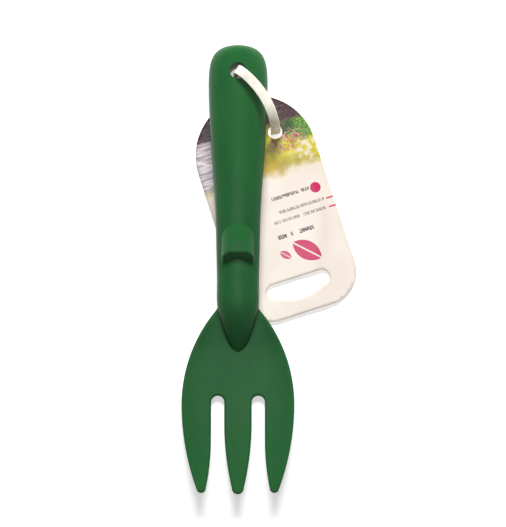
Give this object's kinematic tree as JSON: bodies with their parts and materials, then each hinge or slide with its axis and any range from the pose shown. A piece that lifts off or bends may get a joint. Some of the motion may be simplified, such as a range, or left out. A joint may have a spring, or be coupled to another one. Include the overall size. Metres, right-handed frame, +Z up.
{
  "type": "hand cultivator",
  "caption": "Moulded plastic hand fork with a thumb rest, lying on its back, with a strap loop and a printed hang tag.",
  "frame": {"origin": "on the flat patch of the blade's back, on the centreline", "axes": "+Z up, out of the thumb side; +Y towards the butt of the handle; +X to the right seen from above with the butt at the top"},
  "size_m": [0.0936, 0.2397, 0.022],
  "materials": {
    "fork_plastic": "semi-matte moulded green plastic",
    "strap_plastic": "smooth off-white flat strap",
    "tag_print": null
  },
  "bodies": {
    "fork": {"fork_body": "fork_plastic"},
    "loop": {"tag_loop": "strap_plastic"},
    "tag": {"hang_tag": "tag_print"}
  },
  "joints": [
    {"name": "loop_swing", "type": "hinge", "parent": "fork", "child": "loop", "pos_m": [0, 0.1612, 0.0095], "axis": [0, 0, 1], "range_deg": [-3, 290]},
    {"name": "tag_turn", "type": "hinge", "parent": "loop", "child": "tag", "pos_m": [0.02, 0.131, 0.00135], "axis": [0, 0, 1], "range_deg": [-30, 150]}
  ]
}
